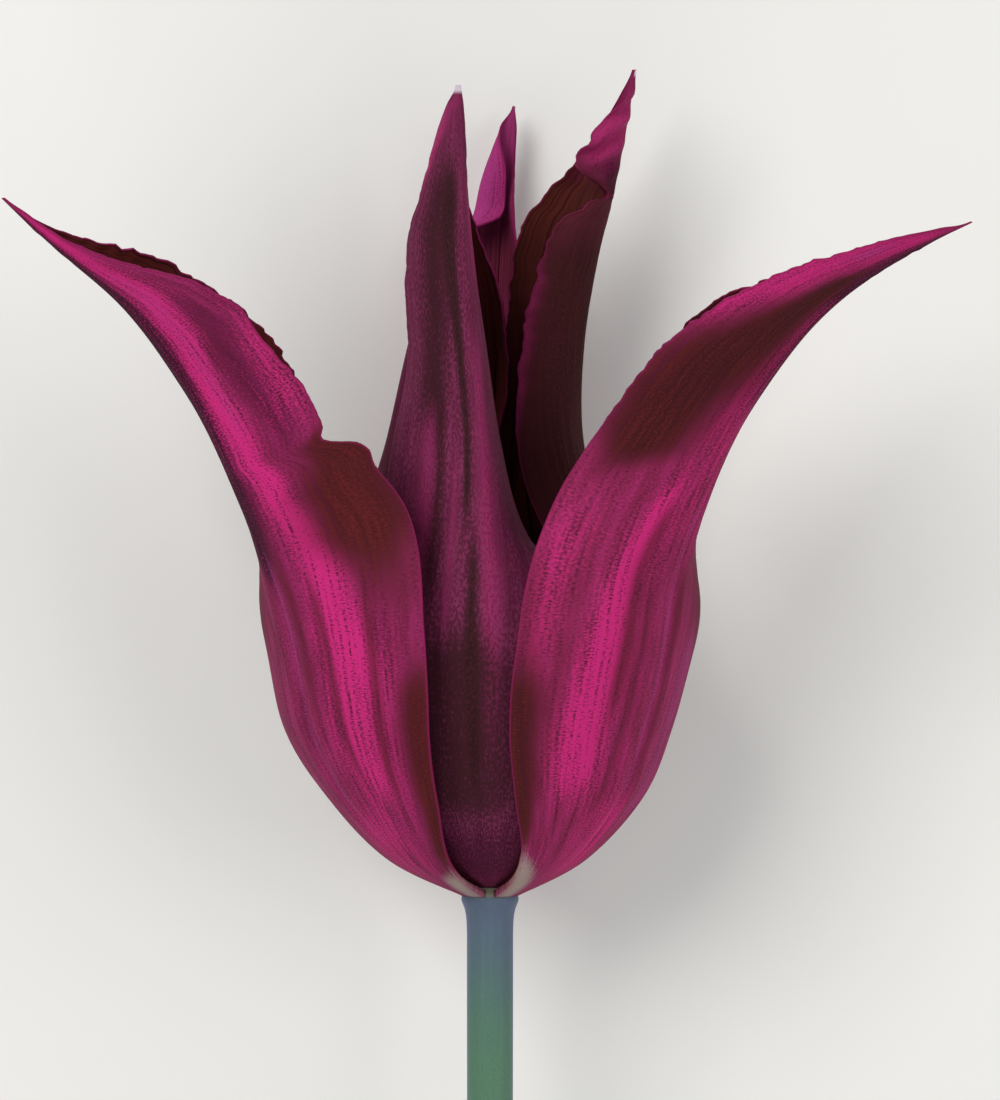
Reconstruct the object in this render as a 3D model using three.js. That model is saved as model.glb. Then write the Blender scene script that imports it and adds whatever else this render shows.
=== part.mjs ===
// A cut lily-flowered tulip that lies on a table, in millimetres.
// +Y runs up the flower, +Z is up from the table, and X is across.
// The bloom lies on the belly of its rear outer tepal, and the stem's cut end touches the table.
// The origin is the middle of the small flat on that belly.
// Six long tepals in two whorls stand on the stem's receptacle, round six stamens and one pistil.

import * as THREE from 'three';

// Lie of the flower
const BELLY_UP = 30; // height of the flat's middle above the foot of the bloom
const AXIS_HEIGHT = 22.2; // the bloom's axis above the table
const FLAT = { width: 9.4, length: 5 }; // the spot where the belly is pressed flat
const FLAT_RISE = 0.08; // least slope of the belly round that spot, so that it rests on the spot alone

// Tepal blades
const MARGIN_THICKNESS = 0.64;
const RIB_THICKNESS = 0.95;
const CLAW_THICKNESS = 0.9;
const RIB_WIDTH = 3.2;
const RIB_FADES_FROM = 0.7; // share of the length
const CLAW_SHARE = 0.12; // share of the length
const SHARPEST_LEAN = 0.7; // how far the inner face is mitred out at a crease
const CREASE_FILL = 0.25; // least width of a strip of the inner face, as a share of the outer one's
const COLUMN_SHARES = [0.1, 0.26, 0.42, 0.56, 0.7, 0.86, 1];
const STEPS_ACROSS = 50;
const ROWS_ALONG = 26;
const ROW_CLEARANCE = 0.4 / ROWS_ALONG; // an even row nearer than this to an extra one is left out
const MIDRIB_STEPS = 400;
const KEEL_REACH = 0.06; // share of the half-width over which a keel turns
const FOLD_REACH = 0.3; // share of the half-width on each side of a fold
const STYLED_FROM = 0.3; // share of the length where keels and curls begin to be given

// Stem and receptacle
const STEM_RADIUS = 2.45;
const STEM_END_RADIUS = 2.6;
const STEM_LENGTH = 200;
const STEM_STRAIGHT = 22;
const STEM_DRIFT = -5;
const STEM_NECK_UP = -12; // where the receptacle has run out into the stem
const STEM_PULL_TOP = 55; // how far the bend keeps each end's direction
const STEM_PULL_FOOT = 60;
const STEM_SIDES = 14;
const STEM_STEPS = 22;
// receptacle profile from its top down: [radius, height above the foot of the bloom]
const RECEPTACLE = [
  [2.9, 5.05], [3.2, 4.85], [3.2, 4.5], [1.8, 3.55], [1.8, 1.3], [2.7, 0.6], [2.7, 0], [3.05, -0.3],
  [2.6, -1.2], [2.48, -1.9],
];

// Stamens and pistil
const STAMEN_COUNT = 6;
const STAMEN_SIDES = 6;
// filament from its neck down to its foot: [distance from the axis, height, radius]
const FILAMENT = [[6.32, 15.2, 0.36], [4.4, 10.5, 0.58], [2.8, 6.95, 0.62], [2.45, 5.35, 0.62]];
const ANTHER_FOOT = { out: 6.4, up: 15.5 };
// anther from its tip down: [share of its length, share of its width]
const ANTHER = [[1, 0.25], [0.94, 0.75], [0.7, 1], [0.35, 1], [0.08, 0.8], [0, 0.45]];
const ANTHER_LENGTH = 11;
const ANTHER_WIDTH = 1.35;
const ANTHER_DEPTH = 0.95;
const ANTHER_LEAN = 9;
const STAMEN_TURN = 12;
// ovary and stigma: [radius, height, depth of the three lobes]
const PISTIL = [
  [1.35, 5.35, 0], [1.9, 6.4, 0.06], [2.6, 9.5, 0.1], [2.9, 13.5, 0.12], [2.7, 18, 0.12], [2.2, 21.5, 0.1],
  [1.85, 23, 0.12], [2.4, 24, 0.3], [3.1, 25.2, 0.36], [3.0, 26.2, 0.36], [1.7, 26.6, 0.2],
];
const PISTIL_SIDES = 18;
const PISTIL_LOBES = 3;
const PISTIL_TURN = 96; // azimuth of one lobe

// Each tepal: its azimuth from +X towards +Z, its midrib as eleven even stations [out, up, sideways],
// and for the halves on the two sides of the midrib (cw towards a lower azimuth, ccw towards a higher)
// the half-width at the same stations and, from three tenths of the length on, the angles in degrees
// by which the blade turns in at the keel and over the rest of the half.
// dents are [share of the length, added width, reach], and rows are extra rows of facets for them.
// fold turns the outer part of a half over at a share of its width, between given shares of the length.
const TEPALS = {
  outer_left: {
    whorl: 'outer',
    azimuth: 148,
    midrib: [[3.1, 0.2], [10.8, 4], [17.4, 10.8], [21.8, 18], [24, 27.5], [27.3, 36],
      [31.1, 43.6], [36.2, 52.5], [43.2, 60.8], [51.8, 67.4], [56.8, 71.5]],
    cw: {
      half: [2.6, 7.2, 12.4, 16.2, 17.4, 17.8, 14.4, 12.2, 10.5, 2.9, 0.6],
      keel: [4, 8, 12, 14, 14, 10, 10, 10],
      curl: [44, 44, 50, 40, 32, 28, 28, 28],
      dents: [[0.574, 1, 0.016], [0.601, -1.9, 0.013], [0.63, -0.7, 0.02], [0.76, 0.5, 0.02], [0.85, -0.6, 0.03]],
    },
    ccw: {
      half: [2.6, 7.2, 12.8, 16.2, 17.5, 16.5, 14, 12.6, 8.4, 3.3, 0.6],
      keel: [4, -1, 20, 52, 60, 60, 60, 40],
      curl: [44, 54, 60, 60, 60, 60, 60, 40],
    },
    rows: [0.562, 0.575, 0.588, 0.601, 0.616, 0.635],
  },
  outer_right: {
    whorl: 'outer',
    azimuth: 34,
    midrib: [[3.1, 0.2], [10.2, 4], [16.2, 10.6], [19.3, 18], [21.6, 26.2], [23.4, 34.5],
      [27.6, 43.6], [33.2, 52.4], [40.6, 60.3], [49, 65.6], [57.3, 69]],
    cw: {
      half: [2.6, 7.2, 13, 16.2, 17, 16, 14, 12.6, 6.4, 2.2, 0.6],
      keel: [4, -4, 20, 52, 60, 60, 60, 40],
      curl: [44, 56, 62, 60, 60, 60, 60, 40],
    },
    ccw: {
      half: [2.6, 7.6, 14, 17.6, 18.4, 16.2, 14.5, 13, 9.4, 4.2, 0.6],
      keel: [4, 8, 12, 14, 14, 10, 10, 10],
      curl: [44, 44, 50, 40, 32, 28, 28, 28],
    },
    rows: [],
  },
  outer_back: {
    whorl: 'outer',
    azimuth: 270,
    midrib: [[3.1, 0.2], [10, 4], [17, 10.8], [21.4, 18.5], [23, 27.5], [22.8, 36],
      [21.5, 46, 0.2], [20.5, 56, 0.5], [19.6, 66, 0.9], [19.2, 76, 1.5], [19, 85.8, 2.6]],
    cw: {
      half: [2.6, 7.4, 13.3, 16.4, 17, 15, 12, 9.8, 8.6, 6.9, 0.6],
      keel: [4, 8, 12, 16, 16, 10, 10, 10],
      curl: [44, 44, 50, 50, 50, 40, 14, 14],
      fold: { turn: 172, at: 0.52, rises: [0.83, 0.885], fades: [0.9, 1.02] },
    },
    ccw: {
      half: [2.6, 7.4, 13.3, 16.4, 17, 15, 11, 8, 5.8, 1.9, 0.6],
      keel: [4, 8, 12, 20, 40, 50, 50, 20],
      curl: [44, 44, 50, 50, 40, 40, 30, 40],
    },
    rows: [0.83, 0.845, 0.857, 0.87, 0.885, 0.9],
  },
  inner_front: {
    whorl: 'inner',
    azimuth: 96,
    midrib: [[2.2, 1.15], [9.2, 5.4], [15, 12], [18.1, 19.2], [19.3, 28], [18.2, 38, -0.3],
      [16, 48, -0.1], [14, 58, 0.8], [12.5, 68, 1.9], [11.5, 77, 2.1], [11, 84.9, 2.1]],
    cw: {
      half: [1.85, 6.6, 12, 15, 15.5, 13, 10.4, 8.8, 6.8, 3.1, 0.6],
      keel: [4, 10, 40, 51, 56, 57, 54, 40],
      curl: [44, 50, 60, 70, 70, 70, 70, 60],
    },
    ccw: {
      half: [1.85, 6.6, 12, 15, 15.5, 13.2, 11.2, 9.2, 8, 4.9, 0.6],
      keel: [4, 6, 8, 10, 12, 12, 10, 10],
      curl: [44, 50, 50, 44, 52, 50, 50, 40],
      dents: [[0.84, 0.8, 0.02], [0.955, 0.9, 0.015]],
    },
    rows: [0.86, 0.875, 0.955],
  },
  inner_left: {
    whorl: 'inner',
    azimuth: 212,
    midrib: [[2.2, 1.15], [9.2, 5.4], [15.4, 12], [18.7, 19.2], [19.6, 28], [16.7, 38],
      [12.9, 48], [10.2, 58], [7.6, 68], [5.8, 77], [4.8, 83]],
    cw: {
      half: [1.85, 6.6, 12, 15.2, 15.5, 14, 11, 9, 7, 4, 0.6],
      keel: [4, 10, 20, 24, 26, 28, 28, 20],
      curl: [44, 60, 80, 100, 110, 100, 80, 60],
    },
    ccw: {
      half: [1.85, 6.6, 12, 15.2, 15.5, 14.4, 12.8, 12.6, 9.4, 3.4, 0.6],
      keel: [4, 10, 16, 20, 20, 20, 28, 20],
      curl: [44, 60, 90, 100, 84, 78, 60, 60],
    },
    rows: [],
  },
  inner_right: {
    whorl: 'inner',
    azimuth: 330,
    midrib: [[2.2, 1.15], [9.2, 5.4], [15.2, 12], [18.1, 19.2], [18.2, 28], [14.5, 38],
      [11.2, 48], [11.3, 58], [13.2, 68], [15.9, 78], [18.2, 88.7]],
    cw: {
      half: [1.85, 6.6, 12, 15.2, 15.5, 12.6, 9.4, 9, 9.4, 4.2, 0.6],
      keel: [4, 10, 16, 20, 20, 20, 28, 20],
      curl: [44, 60, 60, 60, 60, 60, 60, 60],
    },
    ccw: {
      half: [1.85, 6.6, 12, 15.2, 15.5, 13, 10.6, 9.2, 8, 6.6, 0.6],
      keel: [4, 10, 20, 26, 30, 30, 40, 20],
      curl: [44, 60, 80, 110, 120, 110, 60, 40],
      dents: [[0.82, -1.4, 0.014], [0.835, -2.2, 0.014], [0.85, -5.2, 0.01]],
    },
    rows: [0.812, 0.824, 0.836, 0.848, 0.858, 0.87, 0.89],
  },
};

// share of the length over which the round cup gives way to each tepal's own section
const CUP_END = { outer: [0.34, 0.52], inner: [0.34, 0.5] };

const COLOURS = {
  tepal: { color: '#7d1748', roughness: 0.55 },
  stem: { color: '#75857c', roughness: 0.6 },
  pistil: { color: '#a9ae6b', roughness: 0.55 },
  stamen: { color: '#2b1524', roughness: 0.8 },
};

const radians = THREE.MathUtils.degToRad;

function smooth(from, to, x) {
  return THREE.MathUtils.smoothstep(x, from, to);
}

// a value carried smoothly through even stations, at a share from 0 to 1
function track(stations, share) {
  const last = stations.length - 1;
  const x = Math.min(Math.max(share, 0), 1) * last;
  const i = Math.min(Math.floor(x), last - 1);
  const f = x - i;
  const a = stations[Math.max(i - 1, 0)];
  const b = stations[i];
  const c = stations[i + 1];
  const d = stations[Math.min(i + 2, last)];
  return b + 0.5 * f * (c - a + f * (2 * a - 5 * b + 4 * c - d + f * (3 * (b - c) + d - a)));
}

// from the bloom's own frame (across, up the axis, towards the viewer) to the table's
function onTable(point) {
  return new THREE.Vector3(point.x, point.y - BELLY_UP, point.z + AXIS_HEIGHT);
}

// the midrib's points at even steps of its own length
function midribPoints(tepal, steps) {
  const azimuth = radians(tepal.azimuth);
  const fine = MIDRIB_STEPS;
  const points = [];
  const reach = [0];
  for (let i = 0; i <= fine; i += 1) {
    const out = track(tepal.midrib.map((station) => station[0]), i / fine);
    const up = track(tepal.midrib.map((station) => station[1]), i / fine);
    const side = track(tepal.midrib.map((station) => station[2] ?? 0), i / fine);
    points.push(new THREE.Vector3(
      out * Math.cos(azimuth) - side * Math.sin(azimuth),
      up,
      out * Math.sin(azimuth) + side * Math.cos(azimuth),
    ));
    if (i > 0) {
      reach.push(reach[i - 1] + points[i].distanceTo(points[i - 1]));
    }
  }
  const length = reach[fine];
  return steps.map((share) => {
    const target = share * length;
    let i = 1;
    while (i < fine && reach[i] < target) {
      i += 1;
    }
    const f = (target - reach[i - 1]) / (reach[i] - reach[i - 1]);
    const point = points[i - 1].clone().lerp(points[i], f);
    const tangent = points[i].clone().sub(points[i - 1]).normalize();
    return { point, tangent };
  });
}

// shares of the length at which a tepal has rows of facets
function rowShares(tepal) {
  const shares = [...tepal.rows];
  for (let i = 0; i <= ROWS_ALONG; i += 1) {
    const share = i / ROWS_ALONG;
    if (!tepal.rows.some((extra) => Math.abs(extra - share) < ROW_CLEARANCE)) {
      shares.push(share);
    }
  }
  return shares.sort((a, b) => a - b);
}

// where the margin cuts a half off, with its notches and lobes
function cutWidth(half, share) {
  let width = track(half.half, share);
  for (const [at, added, reach] of half.dents ?? []) {
    width += added * Math.exp(-(((share - at) / reach) ** 2));
  }
  return width;
}

// how far a flap is folded over: its turn rises from one share of the length to the next, then fades
function foldTurn(fold, share) {
  return radians(fold.turn) * smooth(fold.rises[0], fold.rises[1], share)
    * (1 - smooth(fold.fades[0], fold.fades[1], share));
}

// the outer face of a tepal as rows of points, and each point's distance from the midrib
function outerFace(tepal) {
  const azimuth = radians(tepal.azimuth);
  const inward = new THREE.Vector3(-Math.cos(azimuth), 0, -Math.sin(azimuth));
  const along = new THREE.Vector3(-Math.sin(azimuth), 0, Math.cos(azimuth));
  const shares = rowShares(tepal);
  return midribPoints(tepal, shares).map(({ point, tangent }, row) => {
    const share = shares[row];
    const free = smooth(CUP_END[tepal.whorl][0], CUP_END[tepal.whorl][1], share);
    const styled = (share - STYLED_FROM) / (1 - STYLED_FROM);
    const radius = Math.hypot(point.x, point.z);
    const across = along.clone().addScaledVector(tangent, -along.dot(tangent)).normalize();
    const square = across.clone().cross(tangent).normalize();
    const depth = inward.clone().multiplyScalar(1 - free).addScaledVector(square, free).normalize();
    const halves = { cw: [], ccw: [] };
    for (const [key, side] of [['cw', -1], ['ccw', 1]]) {
      const half = tepal[key];
      const width = track(half.half, share);
      const cut = cutWidth(half, share);
      const step = cut / STEPS_ACROSS;
      const keel = radians(track(half.keel, styled));
      const curl = radians(track(half.curl, styled));
      const fold = half.fold ? foldTurn(half.fold, share) : 0;
      const here = point.clone();
      for (let i = 1; i <= STEPS_ACROSS; i += 1) {
        const q = ((i - 0.5) * step) / width;
        let turn = keel * (1 - Math.exp(-q / KEEL_REACH)) + curl * q;
        if (fold !== 0) {
          turn += fold * smooth(half.fold.at - FOLD_REACH, half.fold.at + FOLD_REACH, q);
        }
        const angle = (1 - free) * (q * width) / radius + free * turn;
        here.addScaledVector(across, side * Math.cos(angle) * step);
        here.addScaledVector(depth, Math.sin(angle) * step);
        if (COLUMN_SHARES.some((column) => Math.round(column * STEPS_ACROSS) === i)) {
          halves[key].push({ point: here.clone(), offset: step * i, share });
        }
      }
    }
    return [...halves.cw.reverse(), { point, offset: 0, share }, ...halves.ccw];
  });
}

function thickness(offset, share) {
  const rib = Math.exp(-((offset / RIB_WIDTH) ** 2)) * (1 - smooth(RIB_FADES_FROM, 1, share));
  const blade = MARGIN_THICKNESS + (RIB_THICKNESS - MARGIN_THICKNESS) * rib;
  return blade + (CLAW_THICKNESS - blade) * (1 - smooth(0, CLAW_SHARE, share));
}

// the way from the outer face to the inner at one point, long enough to keep the blade's thickness
function inwardAt(rows, j, i) {
  const here = rows[j][i].point;
  const sides = [];
  for (const [dj, di] of [[1, 1], [1, -1], [-1, 1], [-1, -1]]) {
    const ahead = rows[j + dj]?.[i];
    const aside = rows[j][i + di];
    if (ahead && aside) {
      const up = ahead.point.clone().sub(here).multiplyScalar(dj);
      const across = aside.point.clone().sub(here).multiplyScalar(di);
      sides.push(across.cross(up).normalize());
    }
  }
  const mean = new THREE.Vector3();
  sides.forEach((side) => mean.add(side));
  mean.normalize();
  const lean = Math.min(...sides.map((side) => side.dot(mean)));
  return mean.divideScalar(Math.max(lean, SHARPEST_LEAN));
}

// keeps one row of the inner face from running back over itself inside a crease
function fillCreases(outer, inner) {
  const middle = (outer.length - 1) / 2;
  for (const side of [-1, 1]) {
    for (let k = 1; k <= middle; k += 1) {
      const i = middle + side * k;
      const strip = outer[i].clone().sub(outer[i - side]);
      const least = CREASE_FILL * strip.lengthSq();
      const step = inner[i].clone().sub(inner[i - side]).dot(strip);
      if (step < least) {
        inner[i].addScaledVector(strip, (least - step) / strip.lengthSq());
      }
    }
  }
}

function gridIndex(columns, j, i) {
  return j * columns + i;
}

// a closed blade from its two faces, which are split into triangles alike
function bladeGeometry(outer, inner) {
  const columns = outer[0].length;
  const lastRow = outer.length - 1;
  const lastColumn = columns - 1;
  const positions = [...outer.flat(), ...inner.flat()].flatMap((point) => [point.x, point.y, point.z]);
  const below = outer.length * columns;
  const index = [];
  for (let j = 0; j < lastRow; j += 1) {
    for (let i = 0; i < lastColumn; i += 1) {
      const a = gridIndex(columns, j, i);
      const b = gridIndex(columns, j + 1, i);
      const c = gridIndex(columns, j + 1, i + 1);
      const d = gridIndex(columns, j, i + 1);
      index.push(a, b, c, a, c, d);
      index.push(a + below, c + below, b + below, a + below, d + below, c + below);
    }
  }
  const rim = [];
  for (let i = 0; i < lastColumn; i += 1) {
    rim.push([gridIndex(columns, 0, i), gridIndex(columns, 0, i + 1)]);
    rim.push([gridIndex(columns, lastRow, i + 1), gridIndex(columns, lastRow, i)]);
  }
  for (let j = 0; j < lastRow; j += 1) {
    rim.push([gridIndex(columns, j, lastColumn), gridIndex(columns, j + 1, lastColumn)]);
    rim.push([gridIndex(columns, j + 1, 0), gridIndex(columns, j, 0)]);
  }
  for (const [a, b] of rim) {
    index.push(a, b, b + below, a, b + below, a + below);
  }
  const geometry = new THREE.BufferGeometry();
  geometry.setAttribute('position', new THREE.Float32BufferAttribute(positions, 3));
  geometry.setIndex(index);
  return geometry;
}

// the least height of a belly over the table: none on its flat, and a slight rise all round
function liftOffTable(point) {
  const aside = Math.abs(point.x) - FLAT.width / 2;
  const beyond = Math.abs(point.y) - FLAT.length / 2;
  return FLAT_RISE * Math.max(aside, beyond, 0);
}

function tepalGeometry(tepal) {
  const rows = outerFace(tepal);
  const outer = [];
  const inner = [];
  rows.forEach((row, j) => {
    outer.push([]);
    inner.push([]);
    row.forEach(({ point, offset, share }, i) => {
      const depth = thickness(offset, share);
      const under = onTable(point);
      const over = onTable(point.clone().addScaledVector(inwardAt(rows, j, i), depth));
      const lift = liftOffTable(under);
      under.z = Math.max(under.z, lift);
      over.z = Math.max(over.z, lift + depth);
      outer[j].push(under);
      inner[j].push(over);
    });
    fillCreases(outer[j], inner[j]);
  });
  return bladeGeometry(outer, inner);
}

// a closed round body through rings given as { centre, across, depth, radius(angle) }
function ringsGeometry(rings, sides) {
  const positions = [];
  for (const ring of rings) {
    for (let k = 0; k < sides; k += 1) {
      const angle = (2 * Math.PI * k) / sides;
      const radius = ring.radius(angle);
      const point = ring.centre.clone()
        .addScaledVector(ring.across, radius * Math.cos(angle))
        .addScaledVector(ring.depth, radius * Math.sin(angle));
      positions.push(point.x, point.y, point.z);
    }
  }
  const first = rings[0].centre;
  const last = rings[rings.length - 1].centre;
  positions.push(first.x, first.y, first.z, last.x, last.y, last.z);
  const firstCentre = rings.length * sides;
  const lastCentre = firstCentre + 1;
  const index = [];
  for (let k = 0; k < sides; k += 1) {
    const next = (k + 1) % sides;
    index.push(firstCentre, next, k);
    for (let j = 0; j + 1 < rings.length; j += 1) {
      const a = j * sides + k;
      const b = j * sides + next;
      index.push(a, b + sides, a + sides, a, b, b + sides);
    }
    const end = (rings.length - 1) * sides;
    index.push(lastCentre, end + k, end + next);
  }
  const geometry = new THREE.BufferGeometry();
  geometry.setAttribute('position', new THREE.Float32BufferAttribute(positions, 3));
  geometry.setIndex(index);
  return geometry;
}

// the stem's centre line: straight below the bloom, then down to lie along the table
function stemRings() {
  const rings = RECEPTACLE.map(([radius, up]) => ({
    centre: onTable(new THREE.Vector3(0, up, 0)),
    across: new THREE.Vector3(1, 0, 0),
    depth: new THREE.Vector3(0, 0, 1),
    radius: () => radius,
  }));
  const start = new THREE.Vector3(0, -STEM_STRAIGHT - BELLY_UP, AXIS_HEIGHT);
  const end = new THREE.Vector3(STEM_DRIFT, -STEM_LENGTH - BELLY_UP, STEM_END_RADIUS);
  const curve = new THREE.CubicBezierCurve3(
    start,
    new THREE.Vector3(0, start.y - STEM_PULL_TOP, start.z),
    new THREE.Vector3(STEM_DRIFT, end.y + STEM_PULL_FOOT, end.z),
    end,
  );
  const neck = onTable(new THREE.Vector3(0, STEM_NECK_UP, 0));
  rings.push({ ...rings[0], centre: neck, radius: () => STEM_RADIUS });
  for (let i = 0; i <= STEM_STEPS; i += 1) {
    const share = i / STEM_STEPS;
    const tangent = curve.getTangentAt(share);
    const across = new THREE.Vector3(0, 0, 1).cross(tangent).normalize();
    const depth = tangent.clone().cross(across).normalize();
    const radius = STEM_RADIUS + (STEM_END_RADIUS - STEM_RADIUS) * share;
    rings.push({ centre: curve.getPointAt(share), across, depth, radius: () => radius });
  }
  return rings;
}

function pistilRings() {
  return [...PISTIL].reverse().map(([radius, up, lobes]) => ({
    centre: onTable(new THREE.Vector3(0, up, 0)),
    across: new THREE.Vector3(1, 0, 0),
    depth: new THREE.Vector3(0, 0, 1),
    radius: (angle) => radius * (1 + lobes * Math.cos(PISTIL_LOBES * (angle - radians(PISTIL_TURN)))),
  }));
}

// one filament with its long anther
function stamenRings(azimuth) {
  const outward = new THREE.Vector3(Math.cos(azimuth), 0, Math.sin(azimuth));
  const aside = new THREE.Vector3(Math.sin(azimuth), 0, -Math.cos(azimuth));
  const place = (out, up) => onTable(outward.clone().multiplyScalar(out).setY(up));
  const lean = radians(ANTHER_LEAN);
  const rings = [];
  const add = (out, up, width, depth) => rings.push({
    centre: place(out, up),
    across: aside,
    depth: outward,
    radius: (angle) => (width * depth) / Math.hypot(depth * Math.cos(angle), width * Math.sin(angle)),
  });
  for (const [share, size] of ANTHER) {
    const reach = ANTHER_LENGTH * share;
    add(
      ANTHER_FOOT.out + reach * Math.sin(lean),
      ANTHER_FOOT.up + reach * Math.cos(lean),
      ANTHER_WIDTH * size,
      ANTHER_DEPTH * size,
    );
  }
  for (const [out, up, radius] of FILAMENT) {
    add(out, up, radius, radius);
  }
  return rings;
}

const tulip = new THREE.Group();
tulip.name = 'lily_flowered_tulip';

function addPiece(name, geometry, look) {
  geometry.computeVertexNormals();
  const piece = new THREE.Mesh(geometry, new THREE.MeshStandardMaterial({ ...look, metalness: 0 }));
  piece.name = name;
  tulip.add(piece);
}

for (const [name, tepal] of Object.entries(TEPALS)) {
  addPiece(name, tepalGeometry(tepal), COLOURS.tepal);
}
addPiece('stem', ringsGeometry(stemRings(), STEM_SIDES), COLOURS.stem);
addPiece('pistil', ringsGeometry(pistilRings(), PISTIL_SIDES), COLOURS.pistil);
for (let k = 0; k < STAMEN_COUNT; k += 1) {
  const azimuth = radians(STAMEN_TURN + (360 * k) / STAMEN_COUNT);
  addPiece(`stamen_${k + 1}`, ringsGeometry(stamenRings(azimuth), STAMEN_SIDES), COLOURS.stamen);
}

export default tulip;
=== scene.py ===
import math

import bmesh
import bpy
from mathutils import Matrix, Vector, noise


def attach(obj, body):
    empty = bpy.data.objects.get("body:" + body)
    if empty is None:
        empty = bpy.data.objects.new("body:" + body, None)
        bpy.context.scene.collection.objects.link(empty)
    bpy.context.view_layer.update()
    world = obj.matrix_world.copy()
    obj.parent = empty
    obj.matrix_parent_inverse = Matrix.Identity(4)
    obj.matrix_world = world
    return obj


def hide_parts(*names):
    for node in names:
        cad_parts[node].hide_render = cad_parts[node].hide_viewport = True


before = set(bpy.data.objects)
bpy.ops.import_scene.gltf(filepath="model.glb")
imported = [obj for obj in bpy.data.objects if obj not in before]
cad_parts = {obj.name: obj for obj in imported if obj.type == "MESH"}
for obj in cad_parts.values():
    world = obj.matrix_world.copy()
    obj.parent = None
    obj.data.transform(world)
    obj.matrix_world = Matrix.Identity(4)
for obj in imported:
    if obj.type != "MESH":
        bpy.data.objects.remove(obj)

# A cut lily-flowered tulip lying on a pale surface, seen from straight above.
# +Y runs up the flower, +Z is up from the surface, and sizes are in millimetres until a mesh is made.
# The six tepals, the stem, the pistil and the stamens stand for the frame's nodes of the same names.

MM = 0.001
X_AXIS = Vector((1, 0, 0))
Z_AXIS = Vector((0, 0, 1))
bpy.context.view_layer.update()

# Lie of the flower
BELLY_UP = 30  # height of the belly's flat above the foot of the bloom
AXIS_HEIGHT = 22.2  # the bloom's axis above the surface
FLAT_WIDTH = 9.4
FLAT_LENGTH = 5
FLAT_RISE = 0.08  # least slope of the belly round its flat
RISE_END = 1.2  # height where that slope ends

# Tepal blades
ROWS = 230
COLUMNS = 76
SECTION_STEPS = 100
MIDRIB_STEPS = 400
STYLED_FROM = 0.3  # share of the length where keels and curls begin to be given
KEEL_REACH = 0.06  # share of the half-width over which a keel turns
KEEL_LEAST = 0.5  # the least such reach in millimetres
FOLD_REACH = 0.3  # share of the half-width on each side of a fold
CUP_END = {"outer": (0.34, 0.52), "inner": (0.34, 0.5)}  # shares of the length where a blade leaves the cup
MARGIN_THICKNESS = 0.3
RIB_THICKNESS = 0.95
RIB_WIDTH = 3.2
RIB_FADES_FROM = 0.7
TIP_THINS = (0.78, 0.96)  # shares of the length over which a blade thins towards its tip
TIP_THINNED = 0.55  # share of its thickness that goes there
CLAW_THICKNESS = 0.9
CLAW_WIDTH = 2.5
CLAW_SHARE = 0.12
CLAW_MARGIN = 0.25  # share of the claw's extra thickness that its margins have
TEETH = (95, 210)  # coarse and fine teeth along a margin
RAGGED_ENDS = (0.87, 0.95)  # shares of the length over which its teeth run out
CRIMP_ENDS = (0.9, 0.98)  # and its crinkles
TOOTH_HEIGHT = (0.02, 1.4)  # the least, and what each millimetre of crinkle adds
NARROWED_FROM = 0.97
NARROWED = 0.7  # share by which a half narrows there, if it gives none itself
SWELL_HEIGHT = 0.12
FLUTE_HEIGHT = 0.015
FLUTES = 7.5  # faint lengthwise flutes on each half
CRIMP_REACH = 2.2  # how far the crinkles of a margin reach into the blade
BLADE_WIDTH = 33  # a tepal's usual full width and length, for the scale of its patterns
BLADE_LENGTH = 92

# Stem
STEM_RADIUS = 2.45
STEM_END_RADIUS = 2.6
STEM_LENGTH = 200
STEM_STRAIGHT = 22  # length below the bloom before it bends
STEM_DRIFT = -5  # how far its cut end lies to the side
STEM_PULL_TOP = 55  # how far its curve keeps to each end's direction
STEM_PULL_FOOT = 60
STEM_SWELL = 0.006  # unevenness of the stem, as a share of its radius
CUT_RINGS = [(0.12, 0), (0.55, 0.12), (1.2, 0.1)]  # the cut end from its edge in: [width, how far it sinks]
STEM_SIDES = 48
STEM_STEPS = 90
# from the receptacle's top down: [radius, height above the foot of the bloom]
RECEPTACLE = [
    (2.9, 5.05), (3.2, 4.85), (3.2, 4.5), (1.8, 3.55), (1.8, 1.3), (2.7, 0.6), (2.88, 0.35), (3, 0.08),
    (3.05, -0.2), (3, -0.45), (2.86, -0.8), (2.7, -1.2), (2.57, -1.8), (2.49, -2.6), (2.45, -4), (2.45, -12),
]

# Stamens and pistil
STAMEN_COUNT = 6
STAMEN_TURN = 12  # degrees from +X to the first stamen
STAMEN_SIDES = 20
# filament from its foot up: [distance from the axis, height, radius]
FILAMENT = [
    (2.45, 5.35, 0.62), (2.8, 6.95, 0.62), (3.55, 8.8, 0.6), (4.4, 10.5, 0.58), (5.5, 13, 0.48),
    (6.32, 15.2, 0.36),
]
ANTHER_FOOT = (6.4, 15.5)  # distance from the axis and height
ANTHER_LENGTH = 11
ANTHER_WIDTH = 1.35
ANTHER_DEPTH = 0.95
ANTHER_LEAN = 9  # degrees
ANTHER_STEPS = 26
ANTHER_GROOVE = 0.28  # depth of the groove between its two lobes, as a share of its radius
ANTHER_GRAIN = 0.035
# anther from its foot up: [share of its length, share of its width]
ANTHER = [(0, 0.42), (0.04, 0.66), (0.12, 0.86), (0.35, 1), (0.7, 1), (0.88, 0.88), (0.96, 0.62), (1, 0.25)]
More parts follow.
